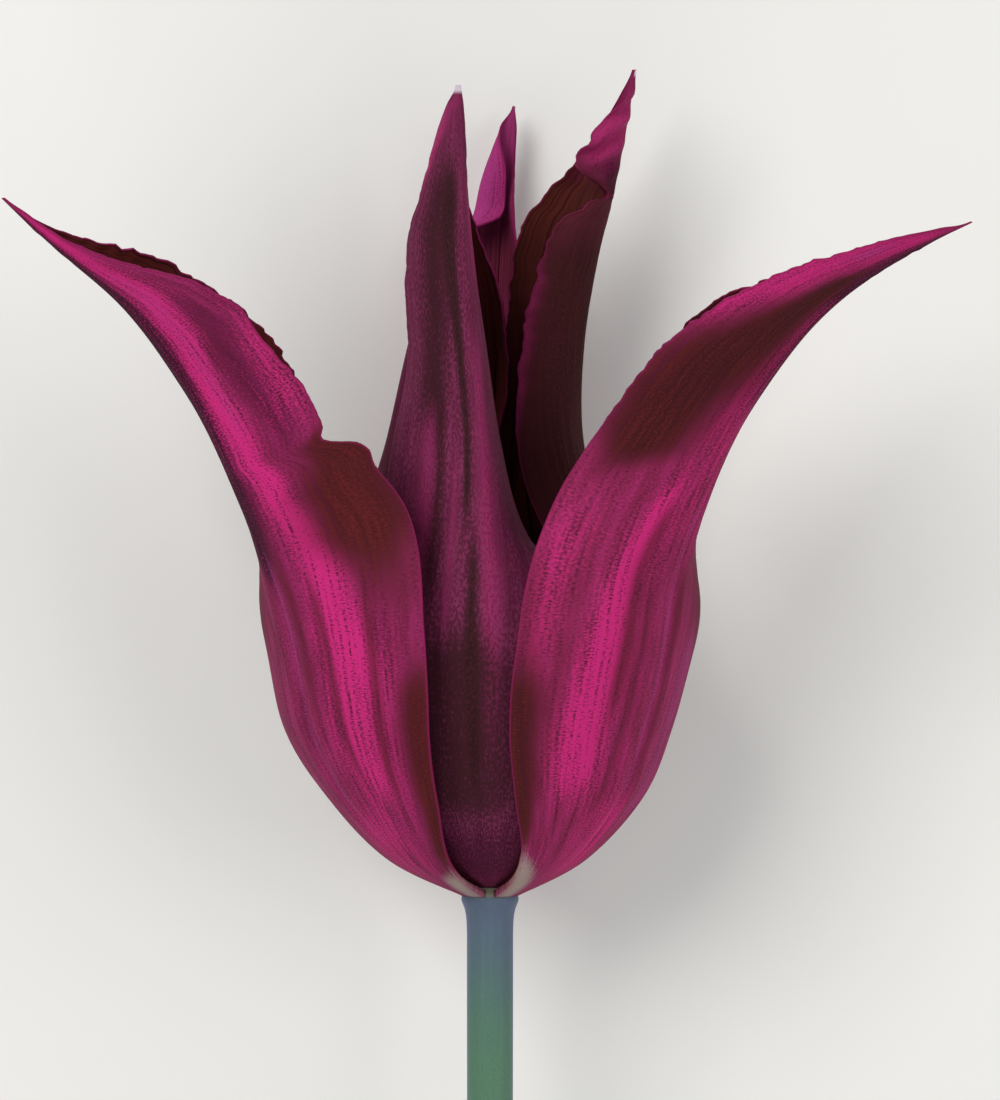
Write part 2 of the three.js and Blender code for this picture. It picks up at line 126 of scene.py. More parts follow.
# ovary, neck and stigma from the foot up: [radius, height, depth of the three lobes]
PISTIL = [
    (1.35, 5.35, 0), (1.9, 6.4, 0.06), (2.6, 9.5, 0.1), (2.9, 13.5, 0.12), (2.7, 18, 0.12), (2.2, 21.5, 0.1),
    (1.85, 23, 0.12), (2.4, 24, 0.3), (3.1, 25.2, 0.36), (3.0, 26.2, 0.36), (1.7, 26.6, 0.2),
]
PISTIL_SIDES = 72
PISTIL_STEPS = 44
PISTIL_LOBES = 3
STIGMA_FROM = -5  # station where the stigma begins
CREST = (0.62, 0.75)  # shares of the stations over which the seams give way to the stigma's frill
PISTIL_TURN = 96
PISTIL_SEAM = 0.06  # depth of the seams between the ovary's lobes, as a share of its radius
STIGMA_FRILL = 0.05

# View: the lens sits over the bloom's axis, and the picture's height spans this much at the axis
VIEW_DISTANCE = 450
VIEW_HEIGHT = 116.6
VIEW_X = 1.06
VIEW_Y = 6.78
SENSOR = 36
LIT_SPOT = (0, 0.01, 0.02)  # in metres

# Gloss of a tepal's skin, weaker than a leaf's usual 1.4, so that it looks like velvet
DULL = {"IOR": 1.18, "Specular IOR Level": 0.25}

# Each tepal as the frame has it: its azimuth from +X towards +Z, its midrib as eleven even stations
# [out, up, sideways], and for the halves on its two sides the half-width at the same stations and, from
# three tenths of the length on, the angles in degrees by which the blade turns in at the keel and over
# the rest of the half. dents are [share of the length, added width, reach].
# fold turns the outer part of a half over at a share of its width, between given shares of the length.
# crimp is [share where the margins start to crinkle, height of the crinkles] for each half.
# pleats are [share from which a half is puckered, length of one pucker, its height].
# narrowed is the share by which a half narrows at the very tip.
TEPALS = {
    "outer_left": {
        "whorl": "outer",
        "azimuth": 148,
        "midrib": [(3.1, 0.2), (10.8, 4), (17.4, 10.8), (21.8, 18), (24, 27.5), (27.3, 36),
                   (31.1, 43.6), (36.2, 52.5), (43.2, 60.8), (51.8, 67.4), (56.8, 71.5)],
        "cw": {
            "half": [2.6, 7.2, 12.4, 16.2, 17.4, 17.8, 14.4, 12.2, 10.5, 2.9, 0.6],
            "keel": [4, 8, 12, 14, 14, 10, 10, 10],
            "curl": [44, 44, 50, 40, 32, 28, 28, 28],
            "dents": [(0.574, 1, 0.016), (0.601, -1.9, 0.013), (0.63, -0.7, 0.02), (0.76, 0.5, 0.02),
                      (0.85, -0.6, 0.03)],
            "crimp": (0.56, 0.16),
            "narrowed": 0.45,
        },
        "ccw": {
            "half": [2.6, 7.2, 12.8, 16.2, 17.5, 16.5, 14, 12.6, 8.4, 3.3, 0.6],
            "keel": [4, -1, 20, 52, 60, 60, 60, 40],
            "curl": [44, 54, 60, 60, 60, 60, 60, 40],
            "crimp": (0.6, 0.3),
            "narrowed": 0.45,
        },
    },
    "outer_right": {
        "whorl": "outer",
        "azimuth": 34,
        "midrib": [(3.1, 0.2), (10.2, 4), (16.2, 10.6), (19.3, 18), (21.6, 26.2), (23.4, 34.5),
                   (27.6, 43.6), (33.2, 52.4), (40.6, 60.3), (49, 65.6), (57.3, 69)],
        "cw": {
            "half": [2.6, 7.2, 13, 16.2, 17, 16, 14, 12.6, 6.4, 2.2, 0.6],
            "keel": [4, -4, 20, 52, 60, 60, 60, 40],
            "curl": [44, 56, 62, 60, 60, 60, 60, 40],
            "crimp": (0.55, 0.25),
        },
        "ccw": {
            "half": [2.6, 7.6, 14, 17.6, 18.4, 16.2, 14.5, 13, 9.4, 4.2, 0.6],
            "keel": [4, 8, 12, 14, 14, 10, 10, 10],
            "curl": [44, 44, 50, 40, 32, 28, 28, 28],
            "crimp": (0.62, 0.22),
        },
    },
    "outer_back": {
        "whorl": "outer",
        "azimuth": 270,
        "midrib": [(3.1, 0.2), (10, 4), (17, 10.8), (21.4, 18.5), (23, 27.5), (22.8, 36),
                   (21.5, 46, 0.2), (20.5, 56, 0.5), (19.6, 66, 0.9), (19.2, 76, 1.5), (19, 85.8, 2.6)],
        "cw": {
            "half": [2.6, 7.4, 13.3, 16.4, 17, 15, 12, 9.8, 8.6, 6.9, 0.6],
            "keel": [4, 8, 12, 16, 16, 10, 10, 10],
            "curl": [44, 44, 50, 50, 50, 40, 14, 14],
            "fold": {"turn": 172, "at": 0.52, "rises": (0.83, 0.885), "fades": (0.9, 1.02)},
            "crimp": (0.6, 0.06),
        },
        "ccw": {
            "half": [2.6, 7.4, 13.3, 16.4, 17, 15, 11, 8, 5.8, 1.9, 0.6],
            "keel": [4, 8, 12, 20, 40, 50, 50, 20],
            "curl": [44, 44, 50, 50, 40, 40, 30, 40],
            "crimp": (0.6, 0.08),
        },
    },
    "inner_front": {
        "whorl": "inner",
        "azimuth": 96,
        "midrib": [(2.2, 1.15), (9.2, 5.4), (15, 12), (18.1, 19.2), (19.3, 28), (18.2, 38, -0.3),
                   (16, 48, -0.1), (14, 58, 0.8), (12.5, 68, 1.9), (11.5, 77, 2.1), (11, 84.9, 2.1)],
        "cw": {
            "half": [1.85, 6.6, 12, 15, 15.5, 13, 10.4, 8.8, 6.8, 3.1, 0.6],
            "keel": [4, 10, 40, 51, 56, 57, 54, 40],
            "curl": [44, 50, 60, 70, 70, 70, 70, 60],
            "crimp": (0.7, 0.08),
            "narrowed": 0.45,
        },
        "ccw": {
            "half": [1.85, 6.6, 12, 15, 15.5, 13.2, 11.2, 9.2, 8, 4.9, 0.6],
            "keel": [4, 6, 8, 10, 12, 12, 10, 10],
            "curl": [44, 50, 50, 44, 52, 50, 50, 40],
            "dents": [(0.84, 0.8, 0.02), (0.955, 0.8, 0.02), (0.975, 0.9, 0.012)],
            "crimp": (0.7, 0.12),
            "narrowed": 0.45,
        },
    },
    "inner_left": {
        "whorl": "inner",
        "azimuth": 212,
        "midrib": [(2.2, 1.15), (9.2, 5.4), (15.4, 12), (18.7, 19.2), (19.6, 28), (16.7, 38),
                   (12.9, 48), (10.2, 58), (7.6, 68), (5.8, 77), (4.8, 83)],
        "cw": {
            "half": [1.85, 6.6, 12, 15.2, 15.5, 14, 11, 9, 7, 4, 0.6],
            "keel": [4, 10, 20, 24, 26, 28, 28, 20],
            "curl": [44, 60, 80, 100, 110, 100, 80, 60],
            "crimp": (0.65, 0.1),
        },
        "ccw": {
            "half": [1.85, 6.6, 12, 15.2, 15.5, 14.4, 12.8, 12.6, 9.4, 3.4, 0.6],
            "keel": [4, 10, 16, 20, 20, 20, 28, 20],
            "curl": [44, 60, 90, 100, 84, 78, 60, 60],
            "crimp": (0.65, 0.14),
        },
    },
    "inner_right": {
        "whorl": "inner",
        "azimuth": 330,
        "midrib": [(2.2, 1.15), (9.2, 5.4), (15.2, 12), (18.1, 19.2), (18.2, 28), (14.5, 38),
                   (11.2, 48), (11.3, 58), (13.2, 68), (15.9, 78), (18.2, 88.7)],
        "cw": {
            "half": [1.85, 6.6, 12, 15.2, 15.5, 12.6, 9.4, 9, 9.4, 4.2, 0.6],
            "keel": [4, 10, 16, 20, 20, 20, 28, 20],
            "curl": [44, 60, 60, 60, 60, 60, 60, 60],
            "crimp": (0.6, 0.2),
            "narrowed": 0.2,
        },
        "ccw": {
            "half": [1.85, 6.6, 12, 15.2, 15.5, 13, 10.6, 9.2, 8, 6.6, 0.6],
            "keel": [4, 10, 20, 26, 30, 30, 40, 20],
            "curl": [44, 60, 80, 110, 120, 110, 60, 40],
            "dents": [(0.82, -1.4, 0.014), (0.835, -2.2, 0.014), (0.85, -5.2, 0.01)],
            "crimp": (0.62, 0.3),
            "pleats": (0.865, 2.9, 0.5),
            "narrowed": 0.2,
        },
    },
}

# Long soft strokes of colour on the tepals: [tint, strength, points], and each point is the share of
# the length, the place across from -1 at the cw margin to 1 at the ccw one, and the half-width there.
# The magenta tint is painted sheen, and the mauve tint is painted highlights on the ridges and towards the
# silhouettes. The plum tint is painted shade where a blade turns away from the light. The dark tint is
# partly the skin's own dark maroon and partly painted shade in grooves and deep in the cup. Cream is the
# claw's own pale colour.
STROKES = {
    "outer_left": [
        ("dark", 1, [(0.46, -0.74, 0.26), (0.5, -0.76, 0.4), (0.55, -0.8, 0.42), (0.58, -0.88, 0.34),
                       (0.62, -1.05, 0.12)]),
        ("dark", 0.9, [(0.08, -0.93, 0.1), (0.2, -0.95, 0.14), (0.3, -0.93, 0.17), (0.37, -0.95, 0.12)]),
        ("dark", 0.45, [(0.4, -0.86, 0.14), (0.48, -0.8, 0.2)]),
        ("dark", 0.55, [(0.3, -0.12, 0.05), (0.5, -0.12, 0.06)]),
        ("dark", 0.55, [(0.38, 0.6, 0.3), (0.44, 0.5, 0.4), (0.5, 0.4, 0.3)]),
        ("dark", 0.6, [(0.22, -0.38, 0.04), (0.46, -0.3, 0.04)]),
        ("dark", 0.6, [(0.2, -0.66, 0.05), (0.44, -0.66, 0.05)]),
        ("dark", 0.4, [(0.7, -0.72, 0.1), (0.74, -0.62, 0.12), (0.78, -0.6, 0.1)]),
        ("plum_shade", 1, [(0.46, 0.04, 0.1), (0.55, 0.02, 0.17), (0.7, 0, 0.22), (0.85, 0, 0.34),
                       (0.98, -0.1, 0.6)]),
        ("plum_shade", 0.5, [(0.6, -0.7, 0.2), (0.72, -0.66, 0.24), (0.82, -0.7, 0.2)]),
        ("magenta_sheen", 1, [(0.36, -0.5, 0.18), (0.46, -0.42, 0.15), (0.55, -0.32, 0.13), (0.68, -0.28, 0.13),
                          (0.8, -0.42, 0.2), (0.9, -0.6, 0.28), (0.98, -0.8, 0.4)]),
        ("magenta_sheen", 0.7, [(0.2, -0.5, 0.3), (0.32, -0.52, 0.26), (0.4, -0.52, 0.2)]),
        ("magenta_sheen", 0.45, [(0.63, -0.85, 0.3), (0.68, -0.9, 0.2), (0.76, -0.98, 0.12)]),
        ("magenta_sheen", 0.6, [(0.05, 0, 0.6), (0.18, -0.2, 0.5)]),
        ("mauve_highlight", 0.55, [(0.16, 0, 0.03), (0.3, 0, 0.04), (0.52, -0.01, 0.04)]),
        ("mauve_highlight", 0.45, [(0.62, -0.33, 0.08), (0.76, -0.38, 0.14), (0.88, -0.5, 0.24)]),
        ("mauve_highlight", 0.5, [(0.1, 0.7, 0.1), (0.46, 0.75, 0.1)]),
        ("cream", 1, [(0, -0.6, 0.6), (0.05, -0.8, 0.4), (0.085, -0.95, 0.2)]),
    ],
    "outer_right": [
        ("dark", 1, [(0.55, 0.8, 0.14), (0.59, 0.72, 0.36), (0.64, 0.68, 0.46), (0.7, 0.58, 0.5),
                       (0.76, 0.42, 0.36), (0.82, 0.34, 0.2), (0.87, 0.3, 0.14)]),
        ("dark", 0.6, [(0.28, 0.35, 0.045), (0.375, 0.33, 0.06), (0.465, 0.31, 0.065), (0.54, 0.25, 0.06)]),
        ("dark", 0.5, [(0.16, 0.3, 0.05), (0.3, 0.22, 0.04), (0.44, 0.2, 0.04)]),
        ("dark", 0.9, [(0.12, 0.98, 0.1), (0.22, 0.95, 0.17), (0.3, 0.94, 0.17), (0.35, 0.96, 0.12)]),
        ("dark", 0.4, [(0.34, 0.95, 0.14), (0.46, 0.98, 0.12)]),
        ("dark", 0.3, [(0.3, 0.74, 0.07), (0.46, 0.68, 0.09)]),
        ("dark", 0.55, [(0.36, -0.6, 0.3), (0.44, -0.5, 0.4), (0.5, -0.4, 0.3)]),
        ("dark", 0.5, [(0.2, -0.08, 0.04), (0.45, -0.09, 0.05)]),
        ("plum_shade", 0.9, [(0.66, -0.04, 0.1), (0.78, 0, 0.2), (0.9, 0.08, 0.34), (0.98, 0.1, 0.5)]),
        ("plum_shade", 0.45, [(0.64, 0.2, 0.25), (0.76, 0.25, 0.25), (0.88, 0.4, 0.3)]),
        ("magenta_sheen", 1, [(0.2, 0.56, 0.22), (0.38, 0.47, 0.15), (0.48, 0.36, 0.11), (0.56, 0.28, 0.08)]),
        ("magenta_sheen", 0.4, [(0.6, 0.24, 0.12), (0.66, 0.2, 0.12), (0.78, 0.18, 0.12), (0.86, 0.3, 0.14)]),
        ("magenta_sheen", 0.75, [(0.73, 1, 0.14), (0.78, 0.97, 0.22), (0.85, 0.85, 0.36), (0.98, 0.6, 0.5)]),
        ("magenta_sheen", 0.35, [(0.5, 0.05, 0.14), (0.66, 0.04, 0.14), (0.8, 0.12, 0.1)]),
        ("magenta_sheen", 0.45, [(0.34, 0.9, 0.1), (0.5, 0.85, 0.14)]),
        ("magenta_sheen", 0.6, [(0.05, 0, 0.5), (0.2, 0.1, 0.3)]),
        ("mauve_highlight", 0.55, [(0.18, 0, 0.03), (0.35, 0, 0.035), (0.56, 0, 0.03)]),
        ("mauve_highlight", 0.6, [(0.86, 0.8, 0.14), (0.93, 0.7, 0.22)]),
        ("mauve_highlight", 0.5, [(0.14, -0.35, 0.2), (0.4, -0.4, 0.2)]),
        ("cream", 1, [(0, 0.6, 0.6), (0.06, 0.85, 0.35), (0.115, 1, 0.14)]),
    ],
    "outer_back": [
        ("dark", 0.8, [(0.4, -0.75, 0.3), (0.6, -0.75, 0.3)]),
        ("dark", 0.8, [(0.45, 0.75, 0.3), (0.62, 0.75, 0.3)]),
        ("magenta_sheen", 0.9, [(0.1, -0.3, 0.35), (0.3, -0.4, 0.16), (0.7, -0.3, 0.12)]),
        ("magenta_sheen", 0.9, [(0.1, 0.3, 0.35), (0.3, 0.42, 0.16), (0.7, 0.35, 0.14)]),
        ("magenta_sheen", 0.85, [(0.74, -0.8, 0.6), (0.98, -0.6, 0.8)]),
        ("mauve_highlight", 0.8, [(0.18, 0, 0.035), (0.56, 0, 0.04)]),
        ("mauve_highlight", 0.6, [(0.79, -0.85, 0.25), (0.86, -0.7, 0.3), (0.97, -0.6, 0.4)]),
        ("cream", 1, [(0, 0, 1.2), (0.05, 0, 0.7)]),
    ],
    "inner_front": [
        ("dark", 0.75, [(0.14, 0.05, 0.5), (0.22, 0.08, 0.7), (0.32, 0.1, 0.6), (0.38, 0.12, 0.3)]),
        ("dark", 0.9, [(0.2, -0.01, 0.03), (0.36, -0.01, 0.05), (0.48, 0, 0.05)]),
        ("dark", 1, [(0.5, 0.06, 0.04), (0.6, 0.07, 0.04), (0.7, 0.1, 0.05), (0.78, 0.12, 0.08),
                       (0.9, 0.14, 0.12)]),
        ("dark", 0.7, [(0.4, 0.3, 0.07), (0.66, 0.34, 0.07)]),
        ("dark", 0.75, [(0.62, 0.5, 0.2), (0.74, 0.4, 0.3), (0.92, 0.34, 0.4)]),
        ("plum_shade", 0.6, [(0.02, 0, 1.2), (0.14, 0, 0.9)]),
        ("magenta_sheen", 0.6, [(0.24, -0.14, 0.1), (0.36, -0.15, 0.09), (0.46, -0.12, 0.1), (0.6, -0.12, 0.11),
                          (0.72, -0.15, 0.12)]),
        ("magenta_sheen", 0.5, [(0.26, 0.44, 0.12), (0.36, 0.42, 0.14), (0.52, 0.43, 0.16), (0.66, 0.46, 0.12)]),
        ("magenta_sheen", 0.5, [(0.24, 0.17, 0.03), (0.4, 0.17, 0.04), (0.59, 0.17, 0.03)]),
        ("magenta_sheen", 0.3, [(0.4, -0.55, 0.35), (0.58, -0.6, 0.4)]),
        ("magenta_sheen", 0.6, [(0.76, -0.35, 0.12), (0.9, -0.4, 0.2)]),
        ("magenta_sheen", 0.85, [(0.88, 1, 0.14), (0.93, 0.95, 0.3), (0.97, 0.7, 0.6), (0.99, 0.2, 1)]),
        ("mauve_highlight", 0.2, [(0.5, 0.84, 0.12), (0.62, 0.84, 0.14), (0.76, 0.86, 0.14), (0.88, 0.86, 0.14)]),
    ],
    "inner_left": [
        ("dark", 0.9, [(0.1, 0, 0.8), (0.45, 0.2, 0.5), (0.7, 0.3, 0.4)]),
        ("dark", 0.95, [(0.3, -1, 0.5), (0.6, -1, 0.6), (0.95, -1, 0.5)]),
        ("magenta_sheen", 0.5, [(0.3, -0.2, 0.2), (0.6, -0.2, 0.14), (0.8, -0.2, 0.12)]),
        ("cream", 0.6, [(0, 0, 1), (0.02, 0, 0.6)]),
    ],
    "inner_right": [
        ("dark", 1, [(0.3, 0.4, 0.7), (0.5, 0.4, 0.7), (0.62, 0.3, 0.7), (0.8, 0.4, 0.6)]),
        ("dark", 0.8, [(0.1, 0, 0.7), (0.4, 0.2, 0.5)]),
        ("magenta_sheen", 0.8, [(0.58, 1, 0.06), (0.67, 1, 0.18), (0.73, 1, 0.22), (0.77, 1, 0.1)]),
        ("magenta_sheen", 0.95, [(0.87, 0.75, 0.4), (0.9, 0.7, 0.7), (0.99, 0.4, 1)]),
        ("plum_shade", 0.85, [(0.85, 0.4, 0.2), (0.93, 0.36, 0.26)]),
        ("mauve_highlight", 0.3, [(0.88, 0.7, 0.2), (0.95, 0.6, 0.3)]),
        ("cream", 0.6, [(0, 0, 1), (0.02, 0, 0.6)]),
    ],
}
# magenta is painted sheen, mauve is painted highlights, and dark is partly painted shade
TINTS = ("dark", "magenta_sheen", "mauve_highlight", "cream")  # kept as the red, green, blue and alpha of one attribute
PAINTED_VALLEY_SHADE = 0.6  # strength of painted shade in the valleys between puckers
STROKE_END = 0.045  # share of the length over which a stroke's end fades
PALE_TIP = (0.989, 0.995)  # shares of the length over which a tip turns pale

# Long furrows and ridges on a tepal: [place across, half-width in millimetres, height, from, to]
PLAIN_FURROWS = [(0, 0.6, -0.25, 0.1, 0.9), (0.15, 1, 0.15, 0.2, 0.9), (-0.15, 1, 0.15, 0.2, 0.9)]
FURROWS = {
    "outer_left": [(0, 0.5, -0.14, 0.1, 0.75), (-0.13, 1, 0.14, 0.15, 0.7), (0.13, 1, 0.14, 0.15, 0.6),
                   (-0.45, 1.3, -0.12, 0.2, 0.6)],
    "outer_right": [(0, 0.5, -0.14, 0.1, 0.75), (0.13, 1, 0.14, 0.15, 0.7), (-0.13, 1, 0.14, 0.15, 0.6),
                    (0.38, 0.9, -0.14, 0.2, 0.7), (0.68, 1.3, -0.1, 0.2, 0.55)],
    "outer_back": [(0, 0.5, -0.12, 0.1, 0.75), (0.13, 1, 0.1, 0.15, 0.6), (-0.13, 1, 0.1, 0.15, 0.6)],
    "inner_front": [(0, 0.5, -0.2, 0.05, 0.97), (0.15, 0.9, 0.1, 0.42, 0.9), (0.42, 0.5, -0.08, 0.4, 0.9),
                    (-0.2, 0.6, -0.06, 0.4, 0.8)],
    "inner_left": PLAIN_FURROWS,
    "inner_right": PLAIN_FURROWS,
}


def smooth(low, high, x):
    """Rises smoothly from 0 at low to 1 at high."""
    share = min(max((x - low) / (high - low), 0), 1)
    return share * share * (3 - 2 * share)


def track(stations, share):
    """A value carried smoothly through even stations, at a share from 0 to 1."""
    last = len(stations) - 1
    x = min(max(share, 0), 1) * last
    i = min(int(x), last - 1)
    f = x - i
    a = stations[max(i - 1, 0)]
    b = stations[i]
    c = stations[i + 1]
    d = stations[min(i + 2, last)]
    return b + 0.5 * f * (c - a + f * (2 * a - 5 * b + 4 * c - d + f * (3 * (b - c) + d - a)))


def wander(x, y, seed):
    """Smooth noise from about -1 to 1, the same in every run."""
    return noise.noise(Vector((x, y, seed * 7.3)))


def on_surface(point):
    """From the bloom's own frame to the frame of the flower lying down."""
    return Vector((point.x, point.y - BELLY_UP, point.z + AXIS_HEIGHT))


def midrib_line(shape):
    """The midrib as close points, and each one's distance along it."""
    azimuth = math.radians(shape["azimuth"])
    stations = [(*station, 0)[:3] for station in shape["midrib"]]
    points = []
    reach = [0]
    for i in range(MIDRIB_STEPS + 1):
        out, up, side = (track(values, i / MIDRIB_STEPS) for values in zip(*stations))
        points.append(Vector((
            out * math.cos(azimuth) - side * math.sin(azimuth),
            up,
            out * math.sin(azimuth) + side * math.cos(azimuth),
        )))
        if i > 0:
            reach.append(reach[-1] + (points[i] - points[i - 1]).length)
    return points, reach


def cut_width(half, share, seed):
    """Where the margin cuts a half off, with its notches, lobes and fine teeth."""
    width = track(half["half"], share)
    for at, added, reach in half.get("dents", ()):
        width += added * math.exp(-((share - at) / reach) ** 2)
    start, height = half["crimp"]
    ragged = smooth(start - 0.1, start + 0.1, share) * (1 - smooth(*RAGGED_ENDS, share))
    teeth = wander(share * TEETH[0], 0.5, seed) + 0.5 * wander(share * TEETH[1], 0.5, seed + 1)
    width += ragged * (TOOTH_HEIGHT[0] + TOOTH_HEIGHT[1] * height) * teeth
    return width * (1 - half.get("narrowed", NARROWED) * smooth(NARROWED_FROM, 1, share))


def fold_turn(fold, share):
    """How far a flap is folded over: its turn rises from one share of the length to the next, then fades."""
    return math.radians(fold["turn"]) * smooth(*fold["rises"], share) * (1 - smooth(*fold["fades"], share))


def blade_row(shape, line, share, seed):
    """One row across a tepal: points from the midrib out on each half, and the half-widths."""
    points, reach = line
    target = share * reach[-1]
    i = 1
    while i < MIDRIB_STEPS and reach[i] < target:
        i += 1
    f = (target - reach[i - 1]) / (reach[i] - reach[i - 1])
    middle = points[i - 1].lerp(points[i], f)
    tangent = (points[i] - points[i - 1]).normalized()
    azimuth = math.radians(shape["azimuth"])
    inward = Vector((-math.cos(azimuth), 0, -math.sin(azimuth)))
    along = Vector((-math.sin(azimuth), 0, math.cos(azimuth)))
    free = smooth(*CUP_END[shape["whorl"]], share)
    styled = (share - STYLED_FROM) / (1 - STYLED_FROM)
    radius = math.hypot(middle.x, middle.z)
    across = (along - tangent * along.dot(tangent)).normalized()
    square = across.cross(tangent).normalized()
    depth = (inward * (1 - free) + square * free).normalized()
    halves = {}
    for key, side in (("cw", -1), ("ccw", 1)):
        half = shape[key]
        width = track(half["half"], share)
        cut = cut_width(half, share, seed + side)
        step = cut / SECTION_STEPS
        keel = math.radians(track(half["keel"], styled))
        curl = math.radians(track(half["curl"], styled))
        keel_reach = max(KEEL_REACH, KEEL_LEAST / width)
        fold = fold_turn(half["fold"], share) if "fold" in half else 0
        here = middle.copy()
        line_out = [middle]
        for k in range(SECTION_STEPS):
            q = (k + 0.5) * step / width
            turn = keel * (1 - math.exp(-q / keel_reach)) + curl * q
            if fold:
                turn += fold * smooth(half["fold"]["at"] - FOLD_REACH, half["fold"]["at"] + FOLD_REACH, q)
            angle = (1 - free) * q * width / radius + free * turn
            here = here + (across * (side * math.cos(angle)) + depth * math.sin(angle)) * step
            line_out.append(here)
        halves[side] = (line_out, cut)
    return halves


def furrow_height(name, place, share, width):
    """How far the furrows and ridges lift the skin."""
    height = 0
    for at, reach, rise, start, end in FURROWS[name]:
        along = smooth(start - 0.08, start + 0.08, share) * (1 - smooth(end - 0.08, end + 0.08, share))
        height += rise * along * math.exp(-(((place - at) * width) / reach) ** 2)
    return height


def pucker(half, share, offset, seed):
    """The wave of the puckers at a rolled tip, from -1 to 1. Their crests run slantwise over the blade."""
    if "pleats" not in half:
        return 0
    start, length, _ = half["pleats"]
    puckered = smooth(start - 0.02, start + 0.03, share) * (1 - smooth(0.95, 1, share))
    phase = 2 * math.pi * (share * BLADE_LENGTH + offset * 0.8) / length
    return puckered * math.sin(phase + 1.6 * wander(share * 24, offset * 0.3, seed))


def relief(name, shape, place, share, width, seed):
    """How far the outer face stands out of the smooth blade: furrows, faint swells and crinkled margins."""
    offset = abs(place) * width
    from_margin = width - offset
    height = furrow_height(name, place, share, width)
    body = smooth(0.04, 0.2, share) * (1 - smooth(0.93, 1, share))
    flute = math.sin(2 * math.pi * place * FLUTES + 1.3 * wander(share * 6, place, seed))
    height += FLUTE_HEIGHT * body * flute
    height += SWELL_HEIGHT * body * wander(share * 9, place * 2.4, seed + 2)
    half = shape["cw" if place < 0 else "ccw"]
    if "pleats" in half:
        height += half["pleats"][2] * smooth(0, 0.6, abs(place)) * pucker(half, share, offset, seed)
    start, crinkle = half["crimp"]
    waved = smooth(start - 0.08, start + 0.08, share) * (1 - smooth(*CRIMP_ENDS, share))
    edge = math.exp(-(from_margin / CRIMP_REACH) ** 2)
    wave = wander(share * 60, place, seed + 3) + 0.6 * wander(share * 120, 2, seed)
    return height + crinkle * waved * edge * wave


def stroke_strength(stroke, place, share):
    """How strongly a stroke colours a place: full along its middle line, fading across and at its ends."""
    _, strength, points = stroke
    start, end = points[0][0], points[-1][0]
    if share < start - STROKE_END or share > end + STROKE_END:
        return 0
    i = 0
    while i < len(points) - 2 and share > points[i + 1][0]:
        i += 1
    (from_share, from_place, from_reach), (to_share, to_place, to_reach) = points[i], points[i + 1]
    f = min(max((share - from_share) / (to_share - from_share), 0), 1)
    middle = from_place + (to_place - from_place) * f
    reach = from_reach + (to_reach - from_reach) * f
    ends = smooth(start - STROKE_END, start + STROKE_END, share) if start > 0 else 1
    ends *= 1 - smooth(end - STROKE_END, end + STROKE_END, share)
    return strength * ends * math.exp(-((place - middle) / reach) ** 2)


def tint_at(name, tint, place, share):
    """How strongly the strokes of one tint together colour a place."""
    left = 1
    for stroke in STROKES[name]:
        if stroke[0] == tint:
            left *= 1 - min(stroke_strength(stroke, place, share), 1)
    return 1 - left


def thickness_at(offset, share):
    """A blade is thickest along its midrib and at the claw, and thins towards its margins and tip."""
    rib = math.exp(-(offset / RIB_WIDTH) ** 2) * (1 - smooth(RIB_FADES_FROM, 1, share))
    blade = MARGIN_THICKNESS + (RIB_THICKNESS - MARGIN_THICKNESS) * rib
    blade *= 1 - TIP_THINNED * smooth(*TIP_THINS, share)
    claw = CLAW_MARGIN + (1 - CLAW_MARGIN) * math.exp(-(offset / CLAW_WIDTH) ** 2)
    claw *= 1 - smooth(0, CLAW_SHARE, share)
    return blade + (CLAW_THICKNESS - blade) * claw


def place_across(x):
    """Columns lie closer together near the margins, where the rim is drawn."""
    return 0.45 * x + 0.55 * math.sin(x * math.pi / 2)


def press_on_surface(point):
    """The belly is flat on the surface over a small spot, and rises slightly all round it."""
    outside = max(abs(point.x) - FLAT_WIDTH / 2, abs(point.y) - FLAT_LENGTH / 2, 0)
    point.z = max(point.z, min(FLAT_RISE * outside, RISE_END))
    return point


def blade_surface(name, shape, shares, places, seed):
    """The outer face as rows of points, each with the half-width of the blade there."""
    line = midrib_line(shape)
    rows = []
    for share in shares:
        halves = blade_row(shape, line, share, seed)
        row = []
        for place in places:
            points, width = halves[-1 if place < 0 else 1]
            x = abs(place) * SECTION_STEPS
            i = min(int(x), SECTION_STEPS - 1)
            row.append((points[i].lerp(points[i + 1], x - i), width))
        rows.append(row)
    last_row = len(rows) - 1
    last_column = len(places) - 1
    surface = []
    for j, row in enumerate(rows):
        surface.append([])
        for i, (point, width) in enumerate(row):
            up = rows[min(j + 1, last_row)][i][0] - rows[max(j - 1, 0)][i][0]
            across = row[min(i + 1, last_column)][0] - row[max(i - 1, 0)][0]
            outward = up.cross(across).normalized()
            height = relief(name, shape, places[i], shares[j], width, seed)
            surface[j].append((press_on_surface(on_surface(point + outward * height)), width))
    return surface


def put_in_scene(name, data):
    item = bpy.data.objects.new(name, data)
    bpy.context.scene.collection.objects.link(item)
    return item


def object_from(bm, name, materials):
    mesh = bpy.data.meshes.new(name)
    bm.to_mesh(mesh)
    bm.free()
    for material in materials:
        mesh.materials.append(material)
    return put_in_scene(name, mesh)


def finish_piece(bm, name, materials, node):
    """Makes the piece, hangs it on the frame and lets it stand for its node."""
    for face in bm.faces:
        face.smooth = True
    piece = object_from(bm, name, materials)
    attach(piece, "root")
    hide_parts(node)
    return piece


